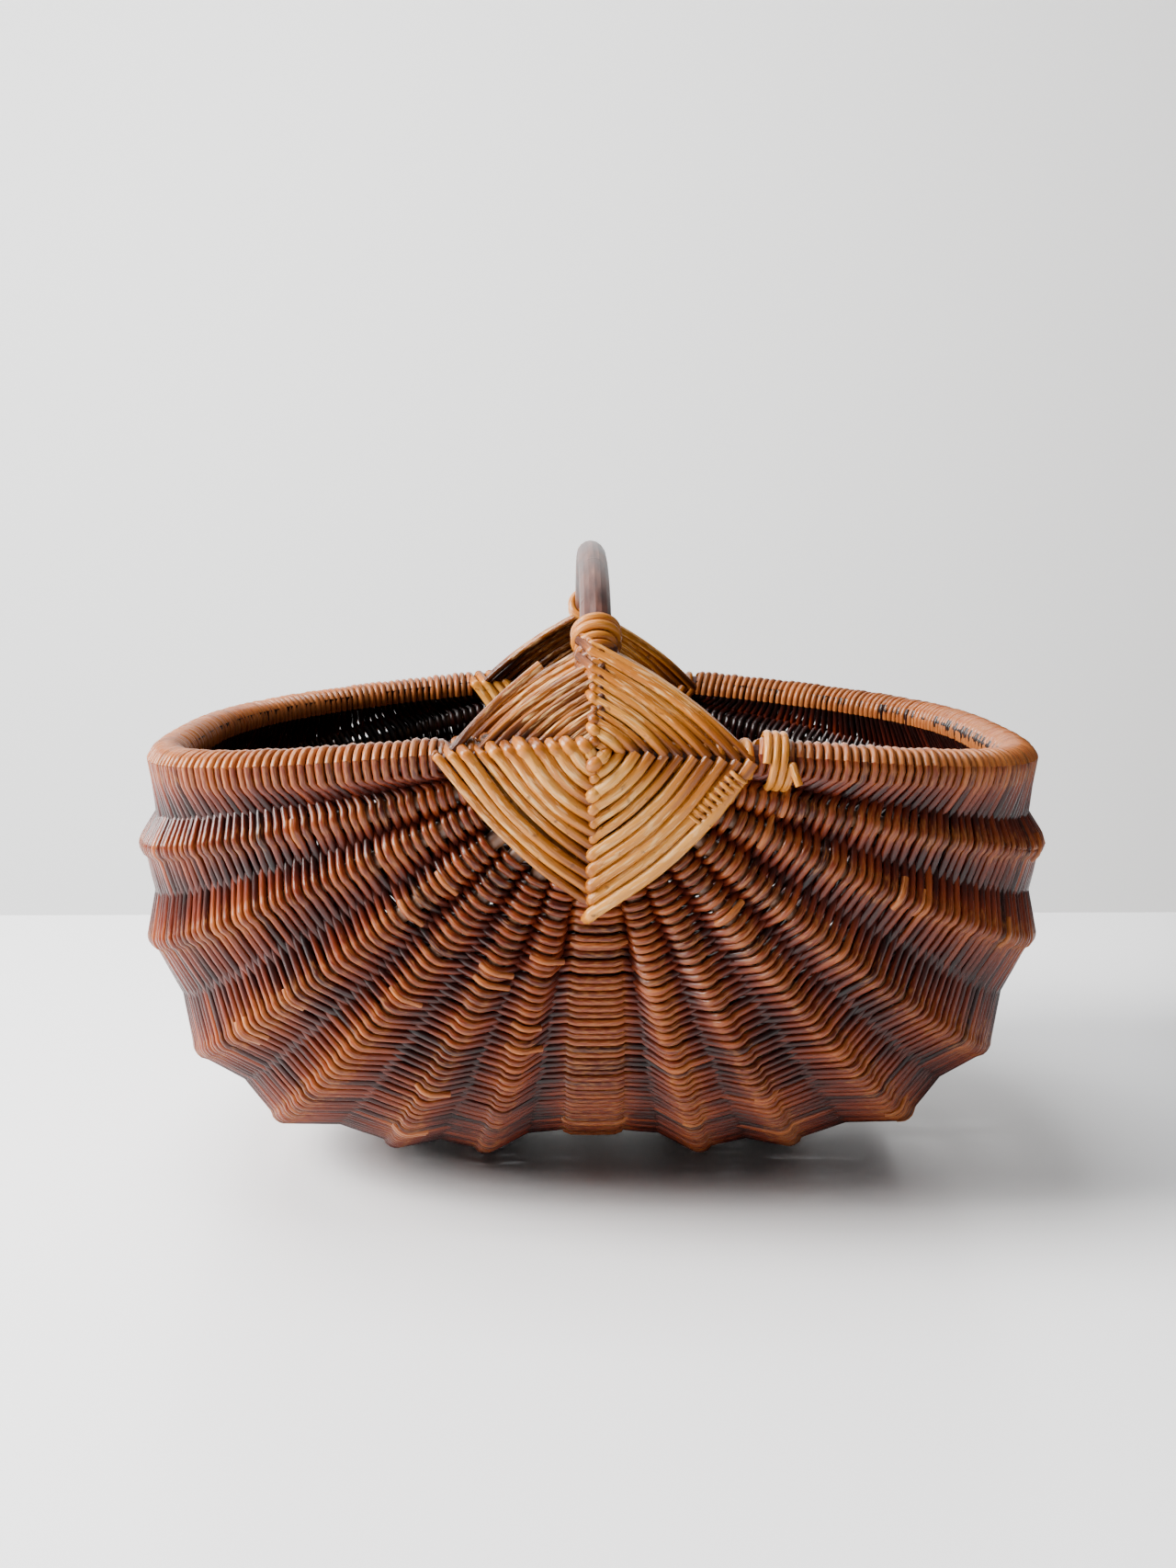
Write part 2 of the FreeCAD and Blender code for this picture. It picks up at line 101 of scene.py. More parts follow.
class Line:
    """Middle line of a frame member, measured by its length from the near crossing."""

    SAMPLES = 480
    NORMAL_STEP = 0.0015

    def __init__(self, side, angle, half_depth, reach, powers, half_section, tuck=0.0, drop=0.0):
        tilt = math.radians(angle)
        self.outward = Vector((side * math.cos(tilt), 0, -math.sin(tilt)))
        self.sideways = Vector((side * math.sin(tilt), 0, math.cos(tilt)))
        self.rightward = self.sideways if self.outward.x > 0 else -self.sideways
        self.origin = Vector((0, 0, AXIS_HEIGHT - drop))
        self.half_depth = half_depth
        self.reach = reach
        self.powers = powers
        self.half_section = half_section
        self.tuck = tuck
        turns = [math.pi * i / self.SAMPLES for i in range(self.SAMPLES + 1)]
        self.points = [self.at_turn(turn) for turn in turns]
        self.lengths = running_lengths(self.points)
        self.length = self.lengths[-1]

    def at_turn(self, turn):
        power = self.powers[0] if turn < math.pi / 2 else self.powers[1]
        depth = -math.copysign(abs(math.cos(turn)) ** (2 / power), math.cos(turn))
        out = self.reach * abs(math.sin(turn)) ** (2 / power)
        tuck = self.tuck * math.exp(-(out / TUCK_LENGTH) ** 2)
        along = depth * self.half_depth + math.copysign(1, depth) * tuck
        return self.origin + self.outward * out + Vector((0, along, 0))

    def at(self, length):
        return point_along(self.points, self.lengths, length)

    def normal(self, length):
        step = self.NORMAL_STEP
        run = self.at(min(length + step, self.length)) - self.at(max(length - step, 0))
        normal = self.sideways.cross(run).normalized()
        return normal if normal.dot(self.at(length) - self.origin) > 0 else -normal

    def woven(self, share):
        return WEAVE_START + share * (self.length - 2 * WEAVE_START)

    def section_at(self, length):
        return self.half_section(min(length, self.length - length))


class Bow:
    """Middle line of the handle bow, from the near crossing over the top."""

    def __init__(self):
        turns = [math.pi * i / BOW_STEPS for i in range(BOW_STEPS + 1)]
        self.points = [self.at_turn(turn) for turn in turns]
        self.lengths = running_lengths(self.points)
        self.length = self.lengths[-1]

    def at_turn(self, turn):
        depth = -math.copysign(abs(math.cos(turn)) ** (2 / BOW_POWER), math.cos(turn))
        rise = BOW_RISE * abs(math.sin(turn)) ** (2 / BOW_POWER)
        tuck = HOOP_TUCK * math.exp(-(rise / TUCK_LENGTH) ** 2)
        along = depth * HOOP_HALF_DEPTH - math.copysign(tuck, depth)
        return Vector((0, along, AXIS_HEIGHT + rise))

    def at(self, length):
        return point_along(self.points, self.lengths, length)


def running_lengths(points):
    lengths = [0.0]
    for here, there in zip(points, points[1:]):
        lengths.append(lengths[-1] + (there - here).length)
    return lengths


def point_along(points, lengths, length):
    low = 0
    high = len(points) - 1
    while high - low > 1:
        middle = (low + high) // 2
        if lengths[middle] <= length:
            low = middle
        else:
            high = middle
    share = (length - lengths[low]) / (lengths[high] - lengths[low])
    return points[low].lerp(points[high], share)


def keel_section(to_end):
    flatness = 1 - math.exp(-(to_end / FLATTEN_LENGTH) ** 2)
    return (HOOP_ROD + flatness * (KEEL_HALF_WIDTH - HOOP_ROD),
            HOOP_ROD + flatness * (KEEL_HALF_THICKNESS - HOOP_ROD))


def make_lines():
    """The rims and ribs from the left rim under the basket to the right rim, and the bow."""
    halves = []
    for side in (-1, 1):
        half = [Line(side, RIM_ANGLE, RIM_HALF_DEPTH, RIM_REACH, RIM_POWERS,
                     lambda end: (RIM_ROD, RIM_ROD), RIM_TUCK)]
        for angle, ridge, near_power, far_power in RIBS:
            half.append(Line(side, angle, RIB_HALF_DEPTH, ridge - RIDGE_STANDOFF,
                             (near_power, far_power), lambda end: (RIB_ROD, RIB_ROD),
                             drop=RIB_DROP))
        halves.append(half)
    keel = Line(1, 90.0, HOOP_HALF_DEPTH, KEEL_REACH, KEEL_POWERS, keel_section, -HOOP_TUCK)
    return halves[0] + [keel] + halves[1][::-1], Bow()


LINES, BOW = make_lines()
LEFT_RIM = LINES[0]
RIGHT_RIM = LINES[-1]
KEEL = LINES[len(LINES) // 2]


# ---- geometry nodes: rods swept along paths ----------------------------------------------------

def rod_tree(name):
    """Turns each run of edges into a smooth round rod; radius comes from the points."""
    tree = bpy.data.node_groups.new(name, "GeometryNodeTree")
    face = tree.interface
    face.new_socket("Paths", in_out="INPUT", socket_type="NodeSocketGeometry")
    sides = face.new_socket("Sides", in_out="INPUT", socket_type="NodeSocketInt")
    steps = face.new_socket("Steps", in_out="INPUT", socket_type="NodeSocketInt")
    finish = face.new_socket("Finish", in_out="INPUT", socket_type="NodeSocketMaterial")
    face.new_socket("Rods", in_out="OUTPUT", socket_type="NodeSocketGeometry")

    def node(kind, **values):
        made = tree.nodes.new(kind)
        for key, value in values.items():
            made.inputs[key.replace("_", " ")].default_value = value
        return made

    def link(source, output, target, socket):
        tree.links.new(source.outputs[output], target.inputs[socket])

    start = node("NodeGroupInput")
    curve = node("GeometryNodeMeshToCurve")
    smooth = node("GeometryNodeCurveSplineType")
    smooth.spline_type = "CATMULL_ROM"
    fine = node("GeometryNodeSetSplineResolution")
    radius = node("GeometryNodeInputNamedAttribute", Name="rod_radius")
    circle = node("GeometryNodeCurvePrimitiveCircle", Radius=1.0)
    place_on_circle = node("GeometryNodeInputPosition")
    around = node("GeometryNodeStoreNamedAttribute", Name="around")
    around.data_type = "FLOAT_VECTOR"
    around.domain = "POINT"
    sweep = node("GeometryNodeCurveToMesh", Fill_Caps=True)
    shade = node("GeometryNodeSetShadeSmooth")
    realize = node("GeometryNodeRealizeInstances")
    paint = node("GeometryNodeSetMaterial")
    end = node("NodeGroupOutput")
    link(start, "Paths", curve, "Mesh")
    link(curve, "Curve", smooth, "Curve")
    link(smooth, "Curve", fine, "Geometry")
    link(start, "Steps", fine, "Resolution")
    link(start, "Sides", circle, "Resolution")
    link(fine, "Geometry", sweep, "Curve")
    link(circle, "Curve", around, "Geometry")
    link(place_on_circle, "Position", around, "Value")
    link(around, "Geometry", sweep, "Profile Curve")
    link(radius, "Attribute", sweep, "Scale")
    link(sweep, "Mesh", shade, "Geometry")
    link(shade, "Geometry", realize, "Geometry")
    link(realize, "Geometry", paint, "Geometry")
    link(start, "Finish", paint, "Material")
    link(paint, "Geometry", end, "Rods")
    return tree, {"sides": sides.identifier, "steps": steps.identifier,
                  "finish": finish.identifier}


ROD_TREE, ROD_INPUTS = rod_tree("rods_along_paths")


def rods(name, paths, finish, sides, steps):
    """Make one piece from paths.

    A path is (points, radii, tone, crests): one tone for each rod, and for each point a crest
    from -1, deep between other rods, to 1 or a little more, where hands reach it. The materials
    turn a low crest into painted shade and a high crest into painted light, and rub high crests
    paler.
    """
    mesh = bpy.data.meshes.new(name + "_paths")
    points = []
    edges = []
    radii = []
    tones = []
    crests = []
    travel = []
    for line, thick, tone, high in paths:
        first = len(points)
        points += line
        edges += [(first + i, first + i + 1) for i in range(len(line) - 1)]
        radii += thick
        tones += [tone] * len(line)
        crests += high
        travel += running_lengths(line)
    mesh.from_pydata(points, edges, [])
    for title, values in (("rod_radius", radii), ("tone", tones), ("crest", crests),
                          ("travel", travel)):
        attribute = mesh.attributes.new(title, "FLOAT", "POINT")
        attribute.data.foreach_set("value", values)
    source = bpy.data.objects.new(name + "_source", mesh)
    bpy.context.scene.collection.objects.link(source)
    modifier = source.modifiers.new("rods", "NODES")
    modifier.node_group = ROD_TREE
    modifier[ROD_INPUTS["sides"]] = sides
    modifier[ROD_INPUTS["steps"]] = steps
    modifier[ROD_INPUTS["finish"]] = finish
    source.update_tag()
    graph = bpy.context.evaluated_depsgraph_get()
    graph.update()
    result = bpy.data.meshes.new_from_object(source.evaluated_get(graph))
    result.name = name
    bpy.data.objects.remove(source)
    piece = bpy.data.objects.new(name, result)
    bpy.context.scene.collection.objects.link(piece)
    return piece


# ---- shader maths ------------------------------------------------------------------------------

class Wire:
    """A shader socket that takes part in Python arithmetic."""

    def __init__(self, paint, socket):
        self.paint = paint
        self.socket = socket

    def _math(self, operation, first, second):
        return self.paint.node("ShaderNodeMath", {"operation": operation}, {0: first, 1: second})

    def __add__(self, other):
        return self._math("ADD", self, other)

    def __mul__(self, other):
        return self._math("MULTIPLY", self, other)


# A Mix node's colour sockets, which share their names with its number sockets.
MIX_FIRST = 6
MIX_SECOND = 7
MIX_RESULT = 2


class Paint:
    """One material and the nodes in it."""

    def __init__(self, name, **shader_values):
        self.material = bpy.data.materials.new(name)
        self.material.use_nodes = True
        self.tree = self.material.node_tree
        self.shader = self.tree.nodes["Principled BSDF"]
        for socket, value in shader_values.items():
            self.shader.inputs[socket.replace("_", " ")].default_value = value

    def node(self, kind, settings=None, values=None, output=0):
        made = self.tree.nodes.new(kind)
        for key, value in (settings or {}).items():
            if key == "stops":
                self.set_stops(made.color_ramp, value)
            else:
                setattr(made, key, value)
        for key, value in (values or {}).items():
            self.feed(made.inputs[key], value)
        return Wire(self, made.outputs[output])

    def set_stops(self, ramp, stops):
        for index, (position, colour) in enumerate(stops):
            if index < 2:
                stop = ramp.elements[index]
                stop.position = position
            else:
                stop = ramp.elements.new(position)
            stop.color = (*colour, 1)

    def feed(self, socket, value):
        if isinstance(value, Wire):
            self.tree.links.new(value.socket, socket)
        else:
            socket.default_value = value

    def attribute(self, name):
        return self.node("ShaderNodeAttribute", {"attribute_name": name}, output="Fac")

    def place(self):
        return self.node("ShaderNodeTexCoord", output="Object")

    def noise(self, vector, scale, detail):
        return self.node("ShaderNodeTexNoise", {}, {
            "Vector": vector, "Scale": scale, "Detail": detail}, output="Fac")

    def stretched(self, vector, scale):
        return self.node("ShaderNodeMapping", {}, {"Vector": vector, "Scale": scale})

    def ramp(self, factor, stops):
        return self.node("ShaderNodeValToRGB", {"stops": stops}, {"Fac": factor}, output="Color")

    def blend(self, factor, first, second):
        return self.node("ShaderNodeMix", {"data_type": "RGBA"}, {
            "Factor": factor, MIX_FIRST: first, MIX_SECOND: second}, output=MIX_RESULT)

    def limit(self, factor, low, high):
        return self.node("ShaderNodeMapRange", {}, {
            "Value": factor, "From Min": low, "From Max": high})

    def axis(self, vector, number):
        """One of a vector's three numbers."""
        split = self.tree.nodes.new("ShaderNodeSeparateXYZ")
        self.feed(split.inputs[0], vector)
        return Wire(self, split.outputs[number])

    def bump(self, height, distance, strength):
        normal = self.node("ShaderNodeBump", {}, {
            "Height": height, "Distance": distance, "Strength": strength}, output="Normal")
        self.feed(self.shader.inputs["Normal"], normal)

    def finish(self, colour, roughness):
        self.feed(self.shader.inputs["Base Color"], colour)
        self.feed(self.shader.inputs["Roughness"], roughness)
        return self.material


TONE_SHIFTS = (97.0, 31.0)      # move each rod's streaks apart from those of other rods


def rod_space(paint, along, across):
    """Coordinates that run along and round each rod, so that streaks follow it."""
    tone = paint.attribute("tone")
    around = paint.node("ShaderNodeAttribute", {"attribute_name": "around"}, output="Vector")
    return paint.node("ShaderNodeCombineXYZ", {}, {
        0: paint.attribute("travel") * along,
        1: paint.axis(around, 0) * across + tone * TONE_SHIFTS[0],
        2: paint.axis(around, 1) * across + tone * TONE_SHIFTS[1]})


def stained_willow():
    """Red-brown stained, varnished weavers: darker in patches where the stain pooled, tan where
    rubbed; painted shade where they lie deep between rods or inside, painted light where they stand
    out.
    """
    paint = Paint("stained_willow", Coat_Weight=0.22, Coat_Roughness=0.14, Specular_IOR_Level=0.22)
    tone = paint.attribute("tone")
    crest = paint.attribute("crest")
    place = paint.place()
    patches = paint.noise(place, 14.0, 4.0)
    streaks = paint.noise(rod_space(paint, 45.0, 1.1), 1.0, 5.0)
    shade = paint.noise(rod_space(paint, 12.0, 0.3), 1.0, 3.0)
    # crest adds painted shade deep between rods and inside the basket, and painted light where
    # weavers pass outside
    factor = tone * 0.25 + patches * 0.20 + streaks * 0.34 + shade * 0.34 + crest * 0.16
    colour = paint.ramp(factor, [
        (0.44, (0.008, 0.0012, 0.0008)),
        (1.02, (0.40, 0.112, 0.022)),
        (0.58, (0.036, 0.0040, 0.0018)),
        (0.70, (0.115, 0.0145, 0.0036)),
        (0.85, (0.225, 0.042, 0.0085)),
    ])
    fibre = paint.noise(rod_space(paint, 260.0, 3.0), 1.0, 3.0)
    rubbed = paint.limit(fibre * 0.6 + patches * 0.2 + crest * 0.25, 0.62, 0.76)
    colour = paint.blend(rubbed * 0.42, colour, (0.46, 0.180, 0.045, 1))
    paint.bump(streaks + fibre * 0.5, 0.0007, 0.6)
    return paint.finish(colour, patches * 0.25 + 0.2)


def honey_willow():
    """Peeled willow of the lashings: honey and orange, paler in streaks where it has worn; painted
    shade where rods tuck under others, painted light where they stand out.
    """
    paint = Paint("honey_willow", Coat_Weight=0.16, Coat_Roughness=0.2, Specular_IOR_Level=0.25)
    tone = paint.attribute("tone")
    crest = paint.attribute("crest")
    streaks = paint.noise(rod_space(paint, 30.0, 1.0), 1.0, 5.0)
    shade = paint.noise(rod_space(paint, 14.0, 0.3), 1.0, 3.0)
    # crest adds painted shade at tucked rod ends and painted light on exposed middles
    colour = paint.ramp(tone * 0.30 + streaks * 0.45 + shade * 0.25 + crest * 0.20, [
        (0.38, (0.060, 0.013, 0.002)),
        (0.94, (0.66, 0.300, 0.060)),
        (0.52, (0.210, 0.056, 0.006)),
        (0.66, (0.400, 0.128, 0.014)),
        (0.80, (0.530, 0.205, 0.028)),
    ])
    fibre = paint.noise(rod_space(paint, 120.0, 2.2), 1.0, 5.0)
    worn = paint.limit(fibre * 0.7 + crest * 0.2, 0.55, 0.66)
    colour = paint.blend(worn * 0.7, colour, (0.78, 0.47, 0.19, 1))
    stain = paint.limit(paint.noise(paint.place(), 260.0, 4.0), 0.64, 0.74)
    colour = paint.blend(stain * 0.75, colour, (0.10, 0.035, 0.012, 1))
    paint.bump(streaks + fibre * 0.6, 0.0010, 0.7)
    return paint.finish(colour, worn * 0.25 + 0.24)


def bark_rod():
    """The hoops: brown bark polished by hands, tan where it has rubbed through."""
    paint = Paint("bark_rod", Coat_Weight=0.08, Coat_Roughness=0.3, Specular_IOR_Level=0.2)
    place = paint.place()
    long_grain = paint.noise(paint.stretched(place, (300, 30, 60)), 1.0, 5.0)
    patches = paint.noise(place, 24.0, 4.0)
    colour = paint.ramp(long_grain * 0.5 + patches * 0.5, [
        (0.34, (0.014, 0.004, 0.003)),
        (0.70, (0.210, 0.090, 0.045)),
        (0.46, (0.048, 0.015, 0.010)),
        (0.57, (0.100, 0.037, 0.025)),
    ])
    knots = paint.limit(paint.noise(place, 95.0, 1.0), 0.68, 0.78)
    colour = paint.blend(knots * 0.8, colour, (0.03, 0.014, 0.010, 1))
    paint.bump(long_grain + knots * 0.8, 0.0009, 0.6)
    return paint.finish(colour, patches * 0.3 + 0.25)


def rib_rod():
    """Ribs: peeled rods, stained brown with long streaks."""
    paint = Paint("rib_rod", Coat_Weight=0.15, Coat_Roughness=0.3)
    place = paint.place()
    streaks = paint.noise(paint.stretched(place, (200, 25, 200)), 1.0, 4.0)
    colour = paint.ramp(streaks, [(0.3, (0.07, 0.026, 0.014)), (0.7, (0.26, 0.12, 0.055))])
    paint.bump(streaks, 0.0006, 0.5)
    return paint.finish(colour, streaks * 0.2 + 0.35)


STAINED = stained_willow()
HONEY = honey_willow()
BARK = bark_rod()
RIB = rib_rod()


# ---- weave -------------------------------------------------------------------------------------

FLOOR_CLEARANCE = 1.08          # a resting weaver's height over its radius, as its radius varies
ROW_JITTER = 0.12               # in rows
ROW_DRIFT = 0.2                 # in rows
DRIFT_STEP = 1.7                # radians of drift from one rib to the next
THICKNESS_WAVER = 0.06
WAVER_STEP = 0.37               # radians of waver from one point to the next
OUTSIDE_RIM = (25, -35)         # degrees round the rim that a row passes, outside or inside
INSIDE_RIM = (150, 215)
RIM_TURN_STEPS = 7
RIM_TURN_START = 20             # degrees, where a turn over the rim begins
RIM_TURN_SWEEP = 185
# Crests over 1 give the turns over the rim and the cut ends painted light, and rub them paler.
RIM_TURN_CREST = 1.4
CUT_ENDS = 70
CUT_END_LIFT = 2.1              # a cut end's height over the rib, in radii
CUT_END_CREST = 1.2
END_ROWS = 8                    # rows at each lashing without cut ends


def over_member(line, share, sign, radius):
    """Points of a weaver that bends round one rib; sign is 1 outside it and -1 inside it."""
    length = line.woven(share)
    middle = line.at(length)
    normal = line.normal(length) * sign
    half_width, half_thickness = line.section_at(length)
    reach = half_thickness + radius
    flat = max(half_width - half_thickness, 0)
    points = []
    for degrees in (-BEND, -BEND / 3, BEND / 3, BEND):
        turn = math.radians(degrees)
        shift = math.copysign(flat, degrees) + reach * math.sin(turn)
        points.append(middle + line.rightward * shift + normal * (reach * math.cos(turn)))
    return points


def between_members(start, finish):
    """A weaver runs straight from one rib to the next when there is room for it."""
    if (finish - start).length < WIDE_GAP:
        return []
    return [start.lerp(finish, part) for part in (0.25, 0.5, 0.75)]


def rim_frame(line, share):
    """Middle of the rim rod, its outward direction and its upward direction."""
    length = min(max(line.woven(share), EYE_SIDE), line.length - EYE_SIDE)
    normal = line.normal(length)
    return line.at(length), normal, line.sideways


def rim_share(line, share):
    """The rim is woven between the lashings only."""
    length = EYE_SIDE + share * (line.length - 2 * EYE_SIDE)
    return (length - WEAVE_START) / (line.length - 2 * WEAVE_START)


def rim_turn(line, share, degrees, radius):
    """A point of a weaver on the rim: 0 outside, 90 on top, 180 inside."""
    middle, normal, up = rim_frame(line, rim_share(line, share))
    reach = RIM_ROD + radius
    turn = math.radians(degrees)
    return middle + (normal * math.cos(turn) + up * math.sin(turn)) * reach


def fading(first, last, count):
    """Crests of the points between two bends."""
    return [first + (last - first) * (i + 1) / (count + 1) for i in range(count)]


def resting(points, radius):
    """The lowest bends are pressed flat where the basket stands on them."""
    lowest = radius * FLOOR_CLEARANCE
    return [Vector((point.x, point.y, max(point.z, lowest))) for point in points]


def row_share(row):
    return min(max((row + 0.5) / ROWS, 0.0), 1.0)


def course_of(row):
    return next(name for limit, name in COURSES if row_share(row) <= limit)


def turn_over_rim(rim, row, way, radius):
    """A weaver's way over the rim, from outside to inside, while it moves on by one row."""
    points = []
    for step in range(RIM_TURN_STEPS):
        part = step / (RIM_TURN_STEPS - 1)
        share = row_share(row + way * part)
        points.append(rim_turn(rim, share, RIM_TURN_START + RIM_TURN_SWEEP * part, radius))
    return points


def weave_rows():
    """Every row of the weave and every turn over the rim, with its radius and tone."""
    courses = {name: [] for _, name in COURSES}
    rim_turns = {"left": [], "right": []}
    for row in range(ROWS):
        outside_rim = row % 2 == 0
        share = row_share(row + chance.uniform(-ROW_JITTER, ROW_JITTER))
        radius = WEAVER * chance.uniform(0.92, 1.1)
        tone = min(max(chance.gauss(0.5, 0.2), 0.0), 1.0)
        rim_degrees = OUTSIDE_RIM if outside_rim else INSIDE_RIM
        points = [rim_turn(LEFT_RIM, share, degrees, radius) for degrees in rim_degrees]
        high = [RIM_CREST[outside_rim]] * 2
        waver = chance.uniform(0, math.tau)
        for number, line in enumerate(LINES[1:-1], start=1):
            sign = 1 if (number + row) % 2 == 0 else -1
            drift = ROW_DRIFT * math.sin(DRIFT_STEP * number + waver) / ROWS
            bend = over_member(line, share + drift, sign, radius)
            straight = between_members(points[-1], bend[0])
            points += straight + bend
            # Crest follows the weave: painted light where the weaver passes outside a rib, painted
            # shade where it passes inside.
            high += fading(high[-1], sign, len(straight)) + [sign] * len(bend)
        points += [rim_turn(RIGHT_RIM, share, degrees, radius) for degrees in rim_degrees[::-1]]
        high += [RIM_CREST[outside_rim]] * 2
        thick = [radius * (1 + THICKNESS_WAVER * math.sin(WAVER_STEP * i + waver))
                 for i in range(len(points))]
        courses[course_of(row)].append((resting(points, radius), thick, tone, high))
        if outside_rim:
            for side, rim, way in (("left", LEFT_RIM, -1), ("right", RIGHT_RIM, 1)):
                turn = turn_over_rim(rim, row, way, radius)
                rim_turns[side].append((turn, [radius] * RIM_TURN_STEPS, tone,
                                        [RIM_TURN_CREST] * RIM_TURN_STEPS))
    return courses, rim_turns


def weaver_ends():
    """Short cut ends of weavers that lie over a rib between two rows."""
    ends = {name: [] for _, name in COURSES}
    for _ in range(CUT_ENDS):
        row = chance.randrange(END_ROWS, ROWS - END_ROWS)
        number = chance.randrange(1, len(LINES) - 1)
        radius = WEAVER * chance.uniform(0.7, 0.95)
        line = LINES[number]
        points = over_member(line, row_share(row + 0.5), 1, radius * CUT_END_LIFT)
        tail = points[-1] - points[-2]
        points.append(points[-1] + tail.normalized() * chance.uniform(0.002, 0.006))
        if chance.random() < 0.5:
            points.reverse()
        tone = chance.uniform(0.8, 1.1)
        count = len(points)
        ends[course_of(row)].append((resting(points, radius), [radius] * count, tone,
                                     [CUT_END_CREST] * count))
    return ends


def make_weave():
    courses, rim_turns = weave_rows()
    for name, paths in weaver_ends().items():
        courses[name] += paths
    for name, paths in courses.items():
        piece = rods(name.replace("weave_", "willow_"), paths, STAINED, sides=7, steps=2)
        place(piece, "weave_willow", name)
    for side, paths in rim_turns.items():
        piece = rods(f"willow_rim_turns_{side}", paths, STAINED, sides=8, steps=2)
        place(piece, "weave_willow", f"rim_wrapping_{side}")


def place(piece, slot, node):
    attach(piece, "root")
    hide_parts(node)


# ---- lashings ----------------------------------------------------------------------------------

EYE_RINGS = 11
EYE_UP_ROUND_BOW = EYE_UP * 1.06    # measured along the bow, which leans
KEEL_ARM = HOOP_ROD * 0.9       # the keel's half thickness under a lashing, where it grows flat
FIRST_RING = 0.6                # the innermost rod's distance from the crossing, in rings
EYE_BOW = 1.9                   # how far the outermost rods bow out, in rod radii
TUCKED = 0.55                   # how far a rod's middle stands off an arm, in rod radii
LIFTED = 1.35
UPPER_ROD = 0.0021              # radii of the lashing's rods
LOWER_ROD = 0.0027
ARM_TURN_ROD = 0.0022
CROWN = 0.0012                  # how far a rod rises between two arms
ROD_BENDS = [(0.28, 0.8), (0.5, 1.0), (0.72, 0.8)]  # shares of the way across, and of the bow
# Crests along a lashing rod: painted shade at the ends that tuck under other rods, painted light
# over its exposed middle.
ROD_CRESTS = [-0.6, 0.5, 1.0, 1.0, 0.8, 0.0, -0.6]
OVERRUN = 1.4                   # how far a rod runs on past an arm before it turns, in radii
TURN_STEPS = 12                 # points in one turn of a rod
SNAPPED_SIDE = (0, 1)           # the upper left side of the near lashing
SNAPPED_RING = EYE_RINGS - 1
SNAPPED_POINTS = 4              # points of a rod that are left of it
SNAPPED_SPRING = Vector((-0.0010, -0.0016, 0.0016))
FACE_OUT = 0.1975               # outer and inner faces' distance from the basket's middle
FACE_IN = 0.1648
FACE_SINK = 0.0027
FACE_FADE = 0.45                # share of an arm over which the faces turn to follow it

# First and second arm, rod radius, lift on the second arm, and the range of tones.
# The arms are numbered: 0 left rim, 1 bow, 2 right rim, 3 keel.
QUADRANTS = [
    (3, 0, LOWER_ROD, LIFTED, 0.4, 1.2),
    (2, 3, LOWER_ROD, LIFTED, 0.7, 1.3),
    (2, 1, UPPER_ROD, LIFTED, 0.4, 1.0),
    (0, 1, UPPER_ROD, TUCKED, -0.2, 0.3),
]


class Arm:
    """One of the four arms of a crossing: where it runs and how thick it is."""

    def __init__(self, line, reach, half_thickness, far):
        self.line = line
        self.reach = reach
        self.half_thickness = half_thickness
        self.far = far

    def middle(self, ring):
        distance = self.reach * (ring + FIRST_RING) / EYE_RINGS
        return self.line.at(self.line.length - distance if self.far else distance)

    def face(self, ring, inside, lift):
        """A point on the arm's front or back, where a rod of the lashing crosses it."""
        end = 1 if self.far else -1
        middle = self.middle(ring)
        fade = 1 - math.exp(-(ring / EYE_RINGS / FACE_FADE) ** 2)
        if inside:
            own = abs(middle.y) - self.half_thickness - lift
            depth = FACE_IN + fade * (own - FACE_IN) if own > FACE_IN else own
        else:
            own = abs(middle.y) + self.half_thickness + lift
            flat = FACE_OUT + lift - FACE_SINK
            depth = flat + fade * (own - flat)
        return Vector((middle.x, end * depth, middle.z))


def eye_arms(far):
    return [
        Arm(LEFT_RIM, EYE_SIDE, RIM_ROD, far),
        Arm(BOW, EYE_UP_ROUND_BOW, HOOP_ROD, far),
        Arm(RIGHT_RIM, EYE_SIDE, RIM_ROD, far),
        Arm(KEEL, EYE_DOWN, KEEL_ARM, far),
    ]


def eye_rod(low_arm, top_arm, ring, inside, radius, tone, lift):
    """A rod from under the turns on one arm to the next arm, lifted by so many radii there."""
    start = low_arm.face(ring, inside, radius * TUCKED)
    finish = top_arm.face(ring, inside, radius * lift)
    run = finish - start
    side_step = run.normalized() * (top_arm.half_thickness + radius)
    beyond = top_arm.middle(ring) + Vector((side_step.x, 0, side_step.z))
    crown = Vector((0, math.copysign(CROWN, start.y) * (-1 if inside else 1), 0))
    outward = (start + finish) / 2 - Vector((0, start.y, AXIS_HEIGHT))
    bow_out = EYE_BOW * chance.uniform(0.86, 1.14) * radius * (ring + 1) / EYE_RINGS
    bow = Vector((outward.x, 0, outward.z)).normalized() * bow_out
    points = [start]
    points += [start + run * across + bow * share + crown for across, share in ROD_BENDS]
    points += [finish, finish + run.normalized() * radius * OVERRUN - crown, beyond]
    wobble = chance.uniform(-0.14, 0.14)
    thick = [radius * (1 + wobble * (i - 2) / 3) for i in range(len(points))]
    return points, thick, tone, ROD_CRESTS


def snapped(rod):
    """The same rod with its end broken off and sprung a little away from the others."""
    points, thick, tone, high = rod
    points = [point + SNAPPED_SPRING * step for step, point in enumerate(points[:SNAPPED_POINTS])]
    return points, thick[:SNAPPED_POINTS], tone, high[:SNAPPED_POINTS]


